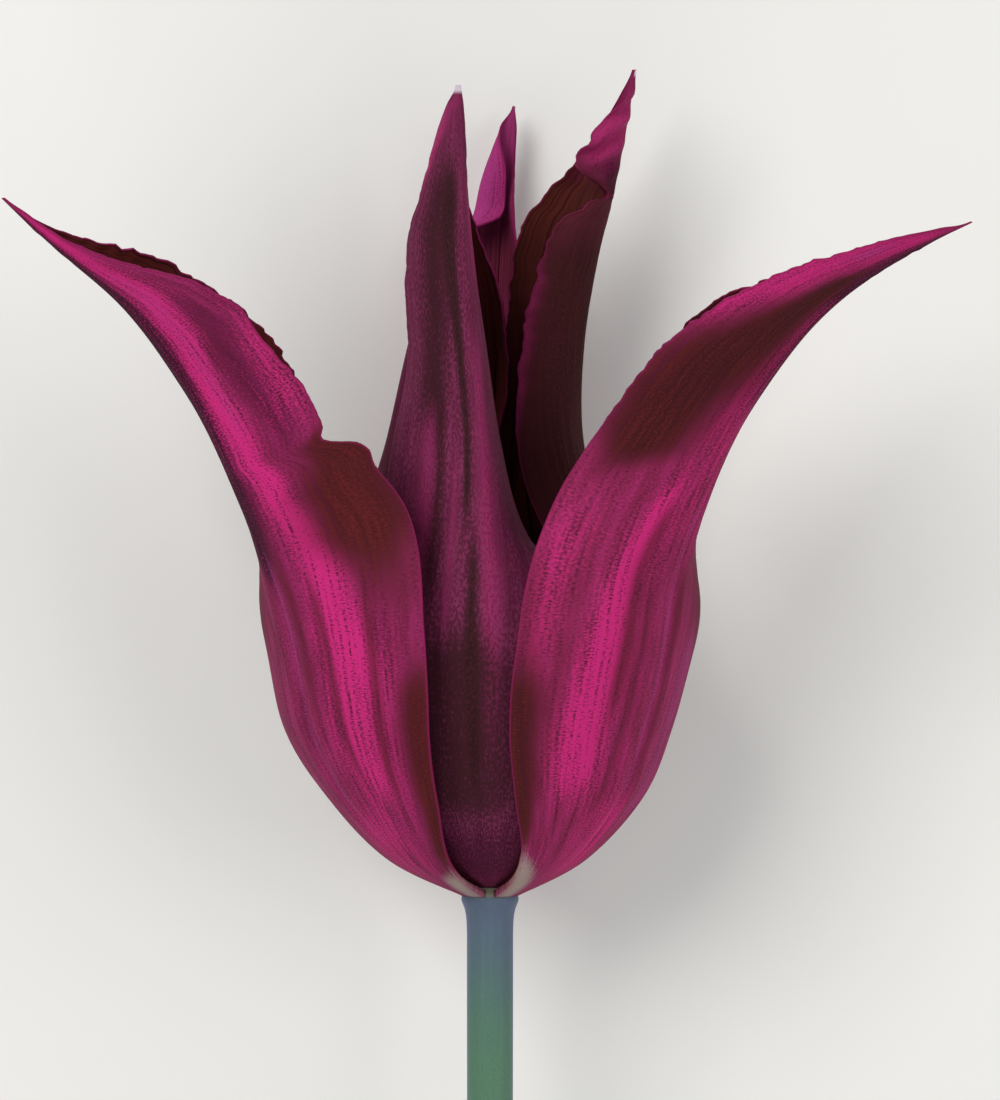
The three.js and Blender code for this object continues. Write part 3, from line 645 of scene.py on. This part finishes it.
def tepal(name, seed, materials):
    """One tepal: a grid bent to its outer face, with its tints on it, and a wall of its thickness behind."""
    shape = TEPALS[name]
    places = [place_across(2 * i / COLUMNS - 1) for i in range(COLUMNS + 1)]
    shares = [j / ROWS for j in range(ROWS + 1)]
    surface = blade_surface(name, shape, shares, places, seed)
    bm = bmesh.new()
    bmesh.ops.create_grid(bm, x_segments=COLUMNS, y_segments=ROWS, size=1)
    tints = bm.verts.layers.float_color.new("tints")
    plum_shade = bm.verts.layers.float.new("plum_shade")
    margin = bm.verts.layers.float.new("margin")
    weights = bm.verts.layers.deform.verify()
    blade = bm.loops.layers.uv.new("blade")
    for number, vert in enumerate(bm.verts):
        j, i = divmod(number, COLUMNS + 1)
        place, share = places[i], shares[j]
        point, width = surface[j][i]
        offset = abs(place) * width
        # the tints hold painted sheen, painted highlights, and dark bands that are partly painted shade.
        # plum holds painted shade, with more of it in the valleys between puckers, where the light doesn't
        # reach
        vert[tints] = [tint_at(name, tint, place, share) for tint in TINTS]
        valley = smooth(0.1, 1, -pucker(shape["cw" if place < 0 else "ccw"], share, offset, seed))
        vert[plum_shade] = max(tint_at(name, "plum_shade", place, share), PAINTED_VALLEY_SHADE * valley)
        vert[margin] = width - offset
        vert[weights][0] = thickness_at(offset, share) / RIB_THICKNESS
        vert.co = point * MM
        for loop in vert.link_loops:
            loop[blade].uv = (0.5 + 0.5 * place, share)
    bmesh.ops.reverse_faces(bm, faces=bm.faces)
    piece = finish_piece(bm, name + "_tepal", materials, name)
    piece.vertex_groups.new(name="thickness")
    wall = piece.modifiers.new("thickness", "SOLIDIFY")
    wall.thickness = RIB_THICKNESS * MM
    wall.offset = -1
    wall.vertex_group = "thickness"
    wall.use_quality_normals = True
    wall.material_offset = 1
    wall.material_offset_rim = 0


def loft(rings, sides):
    """A closed round body, extruded ring by ring. A ring gives the point at an angle."""
    bm = bmesh.new()
    turn = bm.verts.layers.int.new("turn")
    ring_verts = bmesh.ops.create_circle(bm, segments=sides, radius=1)["verts"]
    for k, vert in enumerate(ring_verts):
        vert[turn] = k
        vert.co = rings[0](2 * math.pi * k / sides)
    edges = list(bm.edges)
    for ring in rings[1:]:
        made = bmesh.ops.extrude_edge_only(bm, edges=edges)["geom"]
        verts = {item for item in made if isinstance(item, bmesh.types.BMVert)}
        edges = [item for item in made if isinstance(item, bmesh.types.BMEdge) and set(item.verts) <= verts]
        for vert in verts:
            vert.co = ring(2 * math.pi * vert[turn] / sides)
    open_edges = [edge for edge in bm.edges if edge.is_boundary]
    bmesh.ops.holes_fill(bm, edges=open_edges, sides=0)
    bmesh.ops.recalc_face_normals(bm, faces=bm.faces)
    return bm


def second_skin_above(bm, up):
    """Gives the faces above this height over the foot of the bloom the second material."""
    start = on_surface(Vector((0, up, 0))).y * MM
    for face in bm.faces:
        face.material_index = int(face.calc_center_median().y > start)


def ring_at(centre, across, depth, radius):
    """A ring of the given radius, which may change with the angle, round a centre in millimetres."""
    def point(angle):
        out = radius(angle) if callable(radius) else radius
        return (centre + across * (out * math.cos(angle)) + depth * (out * math.sin(angle))) * MM
    return point


def bezier(a, b, c, d, t):
    """A point of the curve from a to d that b and c pull on, and its direction."""
    point = a * (1 - t) ** 3 + b * (3 * t * (1 - t) ** 2) + c * (3 * t * t * (1 - t)) + d * t ** 3
    tangent = (b - a) * (1 - t) ** 2 + (c - b) * (2 * t * (1 - t)) + (d - c) * t * t
    return point, tangent.normalized()


def stem(materials):
    """Receptacle and stem in one body, bent down to the surface, with a slightly sunken cut end."""
    rings = [ring_at(on_surface(Vector((0, up, 0))), X_AXIS, Z_AXIS, radius) for radius, up in RECEPTACLE]
    start = Vector((0, -STEM_STRAIGHT - BELLY_UP, AXIS_HEIGHT))
    end = Vector((STEM_DRIFT, -STEM_LENGTH - BELLY_UP, STEM_END_RADIUS))
    pulls = (start - Vector((0, STEM_PULL_TOP, 0)), end + Vector((0, STEM_PULL_FOOT, 0)))
    for step in range(STEM_STEPS + 1):
        share = step / STEM_STEPS
        centre, tangent = bezier(start, *pulls, end, share)
        across = Z_AXIS.cross(tangent).normalized()
        depth = tangent.cross(across).normalized()
        radius = STEM_RADIUS + (STEM_END_RADIUS - STEM_RADIUS) * share

        def uneven(angle, radius=radius, share=share):
            swell = wander(share * 14, math.cos(angle) * 0.8, 3)
            swell += wander(share * 14, math.sin(angle) * 0.8, 4)
            return radius * (1 + STEM_SWELL * (swell - 1))

        rings.append(ring_at(centre, across, depth, uneven))
    bm = loft(rings, STEM_SIDES)
    cut = min(bm.faces, key=lambda face: face.calc_center_median().y)
    for width, sunk in CUT_RINGS:
        bmesh.ops.inset_individual(bm, faces=[cut], thickness=width * MM, depth=-sunk * MM)
        cut.material_index = 1
    finish_piece(bm, "stem_and_receptacle", materials, "stem")


def pistil(materials):
    """Ovary with three lobes and seams, and the frilled stigma on its neck."""
    turn = math.radians(PISTIL_TURN)
    stations = list(zip(*PISTIL))
    rings = []
    for step in range(PISTIL_STEPS + 1):
        share = step / PISTIL_STEPS
        radius, up, lobes = (track(column, share) for column in stations)
        crest = smooth(*CREST, share)

        def lobed(angle, radius=radius, lobes=lobes, crest=crest, share=share):
            wave = math.cos(PISTIL_LOBES * (angle - turn))
            seam = math.exp(-(math.sin(PISTIL_LOBES / 2 * (angle - turn)) / 0.12) ** 2)
            seam *= PISTIL_SEAM * (1 - crest) * (share > 0.02)
            frill = STIGMA_FRILL * crest * wander(math.cos(angle) * 6, math.sin(angle) * 6, 5 + share * 3)
            return radius * (1 + lobes * wave - seam + frill)

        rings.append(ring_at(on_surface(Vector((0, up, 0))), X_AXIS, Z_AXIS, lobed))
    bm = loft(rings, PISTIL_SIDES)
    top = max(bm.faces, key=lambda face: face.calc_center_median().y)
    bmesh.ops.inset_individual(bm, faces=[top], thickness=0.5 * MM, depth=-0.25 * MM)
    second_skin_above(bm, PISTIL[STIGMA_FROM][1])
    finish_piece(bm, "pistil_with_stigma", materials, "pistil")


def stamen(number, materials):
    """Filament and two-lobed anther, leaning out a little from the pistil."""
    azimuth = math.radians(STAMEN_TURN + 360 * (number - 1) / STAMEN_COUNT)
    outward = Vector((math.cos(azimuth), 0, math.sin(azimuth)))
    aside = Vector((math.sin(azimuth), 0, -math.cos(azimuth)))
    lean = math.radians(ANTHER_LEAN)
    rings = []
    for out, up, radius in FILAMENT:
        rings.append(ring_at(on_surface(outward * out + Vector((0, up, 0))), aside, outward, radius))
    stations = list(zip(*ANTHER))
    for step in range(ANTHER_STEPS + 1):
        share = step / ANTHER_STEPS
        length, size = (track(column, share) for column in stations)
        reach = ANTHER_LENGTH * length
        centre = outward * (ANTHER_FOOT[0] + reach * math.sin(lean))
        centre = centre + Vector((0, ANTHER_FOOT[1] + reach * math.cos(lean), 0))

        def two_lobed(angle, size=size, length=length):
            width = ANTHER_WIDTH * size
            depth = ANTHER_DEPTH * size
            plain = width * depth / math.hypot(depth * math.cos(angle), width * math.sin(angle))
            groove = math.exp(-(math.cos(angle) / 0.3) ** 2)
            grain = wander(math.cos(angle) * 4 + length * 30, math.sin(angle) * 4, 6 + number)
            return plain * (1 - ANTHER_GROOVE * groove + ANTHER_GRAIN * grain)

        rings.append(ring_at(on_surface(centre), aside, outward, two_lobed))
    bm = loft(rings, STAMEN_SIDES)
    second_skin_above(bm, ANTHER_FOOT[1] - 0.1)
    piece = finish_piece(bm, f"stamen_{number}_with_anther", materials, f"stamen_{number}")
    fine = piece.modifiers.new("fine", "SUBSURF")
    fine.levels = 1
    fine.render_levels = 1


def linear(colour):
    """An sRGB hex colour as linear red, green, blue and alpha."""
    values = [int(colour[k:k + 2], 16) / 255 for k in (1, 3, 5)]
    return [v / 12.92 if v <= 0.04045 else ((v + 0.055) / 1.055) ** 2.4 for v in values] + [1]


def add(tree, kind, inputs=None, **settings):
    """Adds a node and gives its outputs. A socket is linked to an input, and a hex colour is made linear."""
    node = tree.nodes.new(kind)
    for key, value in settings.items():
        setattr(node, key, value)
    for key, value in (inputs or {}).items():
        if isinstance(value, bpy.types.NodeSocket):
            tree.links.new(value, node.inputs[key])
        else:
            node.inputs[key].default_value = linear(value) if isinstance(value, str) else value
    return node.outputs


def new_material(name):
    material = bpy.data.materials.new(name)
    material.use_nodes = True
    material.node_tree.nodes.clear()
    return material, material.node_tree


def finish_material(material, values, height=None, strength=0, depth=0):
    """Gives a material its shader and a relief, whose depth is in millimetres."""
    tree = material.node_tree
    if height is not None:
        bump = {"Height": height, "Strength": strength, "Distance": depth * MM}
        values["Normal"] = add(tree, "ShaderNodeBump", bump)["Normal"]
    shader = add(tree, "ShaderNodeBsdfPrincipled", values)
    add(tree, "ShaderNodeOutputMaterial", {"Surface": shader["BSDF"]})
    return material


def spots(tree, where, scale, shift, detail, roughness):
    """Noise with this many spots to each unit of a place."""
    size = add(tree, "ShaderNodeMapping", {"Vector": where, "Location": shift, "Scale": scale})
    return add(tree, "ShaderNodeTexNoise", {
        "Vector": size["Vector"], "Scale": 1, "Detail": detail, "Roughness": roughness,
    })["Fac"]


def blade_noise(tree, across, along, detail, seed):
    """Noise on a tepal with spots of the given size in millimetres."""
    where = add(tree, "ShaderNodeUVMap", uv_map="blade")["UV"]
    scale = (BLADE_WIDTH / across, BLADE_LENGTH / along, 1)
    return spots(tree, where, scale, (seed * 3.7, seed * 1.9, seed), detail, 0.55)


def object_noise(tree, across, along, detail, seed):
    """Noise in space with spots of the given size in millimetres, across and along the flower."""
    where = add(tree, "ShaderNodeTexCoord")["Object"]
    scale = (1 / (across * MM), 1 / (along * MM), 1 / (across * MM))
    return spots(tree, where, scale, (seed, seed * 1.7, seed * 0.6), detail, 0.5)


def paint(tree, under, over, pattern, low, high, strength=1, uneven=None, reach=0):
    """Lays a colour over another where a pattern runs from low to high, with this strength at most.
    An uneven pattern that pushes the first up and down by a reach makes the edge ragged."""
    if reach:
        pushed = add(tree, "ShaderNodeMath", {0: uneven, 1: reach, 2: pattern}, operation="MULTIPLY_ADD")
        pattern = pushed["Value"]
    amount = add(tree, "ShaderNodeMapRange", {
        "Value": pattern, "From Min": low, "From Max": high, "To Max": strength,
    }, interpolation_type="SMOOTHSTEP")
    return add(tree, "ShaderNodeMix", {"Factor": amount["Result"], 6: under, 7: over}, data_type="RGBA")[2]


def blade_share(tree):
    """The share of a tepal's length, from 0 at its foot to 1 at its tip."""
    where = add(tree, "ShaderNodeUVMap", uv_map="blade")["UV"]
    return add(tree, "ShaderNodeSeparateXYZ", {"Vector": where})["Y"]


def tepal_outside(name, seed, ground, dark, bright, broken_up, crumbs, grain_size, veined,
                  glint=0.1, crumbled=0.6, pale_tip=True):
    """Tulip tepal, outer face: velvety maroon skin with bright bands of painted sheen, painted highlights
    and painted shade, and dark bands that are partly its own dark maroon and partly painted shade, all
    broken up into streaks.
    """
    material, tree = new_material(name)
    veins = blade_noise(tree, 0.5, 10, 3, seed)
    grain = blade_noise(tree, *grain_size, 1, seed + 1)
    blotch = blade_noise(tree, 1.5, 7, 3, seed + 2)
    streaks = add(tree, "ShaderNodeMix", {"Factor": veined, "A": grain, "B": veins})["Result"]
    uneven = add(tree, "ShaderNodeMath", {0: streaks, 1: 0.5}, operation="SUBTRACT")["Value"]
    tints = add(tree, "ShaderNodeAttribute", attribute_name="tints")
    cream = tints["Alpha"]
    split = add(tree, "ShaderNodeSeparateColor", {"Color": tints["Color"]})
    plum_shade = add(tree, "ShaderNodeAttribute", attribute_name="plum_shade")["Fac"]
    margin = add(tree, "ShaderNodeAttribute", attribute_name="margin")["Fac"]
    # the rim's paint is weaker where the margin is cream
    rim = add(tree, "ShaderNodeMath", {0: cream, 1: -0.6, 2: 0.6}, operation="MULTIPLY_ADD")["Value"]
    brown = paint(tree, *dark, streaks, 0.42, 0.62)
    pale = paint(tree, "#B4A488", "#9C8494", streaks, 0.42, 0.6)
    colour = paint(tree, *ground, blotch, 0.35, 0.7)
    # the layers of paint from the ground up: plum painted shade, the bright band of painted sheen, a painted
    # glint on the grain, dark crumbs, the dark bands (partly the skin's own dark maroon, partly painted
    # shade), mauve painted highlights, the cream claw and the rim
    for over, pattern, low, high, strength, reach in (
        ("#3E1028", plum_shade, 0.15, 0.8, 1, 1.2),
        (bright, split["Green"], 0.1, 1, 1, broken_up),
        ("#CC4A8A", grain, 0.52, 0.66, glint, 0),
        ("#3E0C20", streaks, *crumbs, crumbled, 0),
        (brown, split["Red"], 0.08, 0.92, 1, 1.2),
        ("#A63E82", split["Blue"], 0.2, 1, 1, 1),
        (pale, cream, 0.36, 1.1, 1, 1.8),
        ("#8E2056", margin, 0.22, 0.06, rim, 0),
    ):
        colour = paint(tree, colour, over, pattern, low, high, strength, uneven, reach)
    if pale_tip:
        colour = paint(tree, colour, "#D8C8D4", blade_share(tree), *PALE_TIP)
    height = add(tree, "ShaderNodeMix", {"Factor": 0.6, "A": grain, "B": veins})["Result"]
    return finish_material(material, {"Base Color": colour, "Roughness": 0.62, **DULL}, height, 0.4, 0.22)


def tepal_inside(name, seed, ground, tip=None, tip_from=0):
    """Tulip tepal, inner face: smooth brown-maroon skin, darker in long streaks, pale at the claw."""
    material, tree = new_material(name)
    veins = blade_noise(tree, 0.7, 22, 2, seed)
    blotch = blade_noise(tree, 4, 12, 2, seed + 2)
    share = blade_share(tree)
    colour = paint(tree, *ground, blotch, 0.3, 0.75)
    colour = paint(tree, colour, "#2A0D0C", veins, 0.45, 0.75)
    if tip:
        colour = paint(tree, colour, tip, share, tip_from, tip_from + 0.1, 1, veins, 0.1)
    colour = paint(tree, colour, "#27151F", share, 0.2, 0.15, 1, veins, 0.06)
    colour = paint(tree, colour, "#C9B56A", share, 0.13, 0.1, 1, veins, 0.06)
    margin = add(tree, "ShaderNodeAttribute", attribute_name="margin")["Fac"]
    colour = paint(tree, colour, "#7A1C46", margin, 0.22, 0.08, 0.5)
    return finish_material(material, {"Base Color": colour, "Roughness": 0.6, **DULL}, veins, 0.25, 0.2)


def stem_skin():
    """Tulip stem: green skin under a bluish wax bloom, flushed violet below the flower. The wax's real grain
    is too fine to show, so its mottle is drawn coarser."""
    material, tree = new_material("waxy_green_stem_skin")
    where = add(tree, "ShaderNodeTexCoord")["Object"]
    along = add(tree, "ShaderNodeSeparateXYZ", {"Vector": where})["Y"]
    foot = -BELLY_UP * MM  # in metres, as all places along the stem
    mottle = object_noise(tree, 0.17, 0.22, 2, 1)
    fibres = object_noise(tree, 0.35, 14, 2, 4)
    patches = object_noise(tree, 4, 16, 2, 8)
    colour = paint(tree, "#587D62", "#556F6E", along, foot - 0.016, foot - 0.001, 1, patches, 0.006)
    colour = paint(tree, "#5F8A55", colour, along, foot - 0.2, foot - 0.05, 1, patches, 0.006)
    colour = paint(tree, colour, "#5C5684", along, foot - 0.009, foot + 0.003, 0.5, patches, 0.006)
    colour = paint(tree, colour, "#4A6A5C", mottle, 0.45, 0.62, 0.35)
    colour = paint(tree, colour, "#7C9A93", fibres, 0.5, 0.8, 0.12)
    colour = paint(tree, colour, "#8E9078", along, foot, foot + 0.0005)
    return finish_material(material, {
        "Base Color": colour, "Roughness": 0.5, "IOR": 1.33, "Specular IOR Level": 0.3,
        "Sheen Weight": 0.7, "Sheen Roughness": 0.35, "Sheen Tint": "#8C84D0",
    }, mottle, 0.25, 0.1)


def stem_pith():
    """Cut end of the stem: wet pale pith with darker strands."""
    material, tree = new_material("wet_pale_pith")
    strands = object_noise(tree, 0.35, 30, 2, 2)
    colour = paint(tree, "#C9D3A4", "#8FA573", strands, 0.5, 0.7)
    return finish_material(material, {"Base Color": colour, "Roughness": 0.25, "IOR": 1.35})


def soft_skin(name, light, shade, across, along, rough, sheen):
    """Skin of the small inner organs in two tones, smooth on the ovary and mealy on stigma and anther. The
    meal is drawn coarser than it is."""
    material, tree = new_material(name)
    tones = object_noise(tree, across, along, 3, 5)
    colour = paint(tree, light, shade, tones, 0.4, 0.65)
    values = {"Base Color": colour, "Roughness": rough, "IOR": 1.4, "Sheen Weight": sheen}
    return finish_material(material, values, tones, 0.4, 0.2)


def pale_floor():
    """Matt pale paint, which gives the eye an even ground for soft shadows."""
    material, tree = new_material("matt_pale_paint")
    cloud = object_noise(tree, 60, 60, 2, 3)
    colour = paint(tree, "#EFEDE7", "#F2F0EB", cloud, 0.2, 0.8)
    finish_material(material, {"Base Color": colour, "Roughness": 0.85})
    bm = bmesh.new()
    bmesh.ops.create_grid(bm, x_segments=1, y_segments=1, size=1.5)
    object_from(bm, "pale_floor", [material])


def soft_light(name, place, size, power):
    """A square lamp turned to the bloom. Its place and size are in metres and its power in watts."""
    data = bpy.data.lights.new(name, "AREA")
    data.shape = "SQUARE"
    data.size = size
    data.energy = power
    light = put_in_scene(name, data)
    light.location = place
    light.rotation_euler = (Vector(LIT_SPOT) - Vector(place)).to_track_quat("-Z", "Y").to_euler()


def studio():
    """Three soft lamps and a pale sky."""
    soft_light("key", (-0.45, 0.35, 0.75), 0.5, 5)
    soft_light("fill", (0.6, 0.1, 0.6), 0.6, 2.4)
    soft_light("low", (0.05, -0.75, 0.5), 0.5, 1.6)
    world = bpy.data.worlds.new("studio")
    world.use_nodes = True
    background = world.node_tree.nodes["Background"]
    background.inputs["Color"].default_value = linear("#E8ECF2")
    background.inputs["Strength"].default_value = 0.34
    bpy.context.scene.world = world
    bpy.context.scene.view_settings.view_transform = "Standard"


def camera():
    """Straight down on the flower, with the tips at the top of the picture."""
    data = bpy.data.cameras.new("camera")
    data.sensor_width = SENSOR
    data.lens = SENSOR * VIEW_DISTANCE / VIEW_HEIGHT
    data.clip_start = 0.01
    data.clip_end = 10
    view = put_in_scene("camera", data)
    view.location = Vector((VIEW_X, VIEW_Y, AXIS_HEIGHT + VIEW_DISTANCE)) * MM
    bpy.context.scene.camera = view


camera()
studio()
pale_floor()

INSIDE = tepal_inside("brown_maroon_inner_skin", 1, ("#4A1B1B", "#5A201E"))
PLUM = tepal_inside("plum_inner_skin", 2, ("#6C2738", "#7C2D4A"), "#963268", 0.87)
FLUSHED = tepal_inside("brown_inner_skin_flushed_at_the_tip", 4, ("#552420", "#642A24"), "#8E2858", 0.9)
INSIDES = {"outer_back": PLUM, "inner_right": FLUSHED}
# Finishes of a tepal's outer skin: how far its bright band of painted sheen breaks up, the values of its
# streaks where dark crumbs begin and are full, its grain's size in millimetres across and along, and the
# veins' share of the streaks. crumbled and glint are how strongly the crumbs darken and the grain shines.
# The real grain is too fine to show in the picture, so it is drawn coarser.
FINE = {"broken_up": 2, "crumbs": (0.46, 0.66), "grain_size": (0.22, 0.34), "veined": 0.5}
DULL_FINE = {**FINE, "glint": 0.05}
RIPPLED = {
    "broken_up": 3.4, "crumbs": (0.5, 0.34), "grain_size": (0.4, 0.17), "veined": 0.5, "pale_tip": False,
}
WEAKLY_RIPPLED = {**RIPPLED, "broken_up": 2.6, "pale_tip": True}
CRUMBLED = {
    "broken_up": 2.4, "crumbs": (0.44, 0.56), "grain_size": (0.32, 0.5), "veined": 0.25,
    "crumbled": 0.58, "glint": 0.04,
}
# Outer skins: two tones of the ground and of the dark bands, the tone of the bright band, and the finish.
# The bright band is painted sheen, and the dark bands are partly the skin's own dark maroon and partly
# painted shade. inner_left's tones are darker than the others', partly as painted shade deep in the cup.
SKINS = {
    "outer_left": (("#7C2248", "#96295D"), ("#4A1A1D", "#602023"), "#D02C7A", RIPPLED),
    "outer_right": (("#822449", "#982A5C"), ("#40181C", "#5A1F21"), "#CA2A76", RIPPLED),
    "outer_back": (("#7C1B4A", "#8A1F55"), ("#421315", "#5C191A"), "#B03478", WEAKLY_RIPPLED),
    "inner_front": (("#702948", "#803256"), ("#2C1619", "#421D24"), "#BE3878", CRUMBLED),
    "inner_left": (("#4A1630", "#5A1A38"), ("#341012", "#4A161A"), "#7E2050", FINE),
    "inner_right": (("#4C1E25", "#5A222D"), ("#361618", "#4A1F21"), "#AE2E6A", DULL_FINE),
}
for number, name in enumerate(TEPALS):
    *tones, finish = SKINS[name]
    # each outer skin carries painted sheen, painted highlights and painted shade in its tints
    outside = tepal_outside("velvety_skin_of_" + name, number * 5 + 3, *tones, **finish)
    tepal(name, number * 11 + 1, [outside, INSIDES.get(name, INSIDE)])

stem([stem_skin(), stem_pith()])
OVARY = soft_skin("smooth_green_ovary_skin", "#9FAE6E", "#7F9158", 1.2, 3, 0.4, 0.1)
STIGMA = soft_skin("mealy_cream_stigma", "#E3D9A2", "#C7B877", 0.25, 0.25, 0.8, 0.4)
pistil([OVARY, STIGMA])
FILAMENT_SKIN = soft_skin("dark_violet_filament_skin", "#3B2036", "#55304A", 0.8, 2.5, 0.45, 0.1)
ANTHER_SKIN = soft_skin("powdery_black_violet_anther", "#1D121D", "#33202F", 0.2, 0.2, 0.9, 0.5)
for number in range(1, STAMEN_COUNT + 1):
    stamen(number, [FILAMENT_SKIN, ANTHER_SKIN])
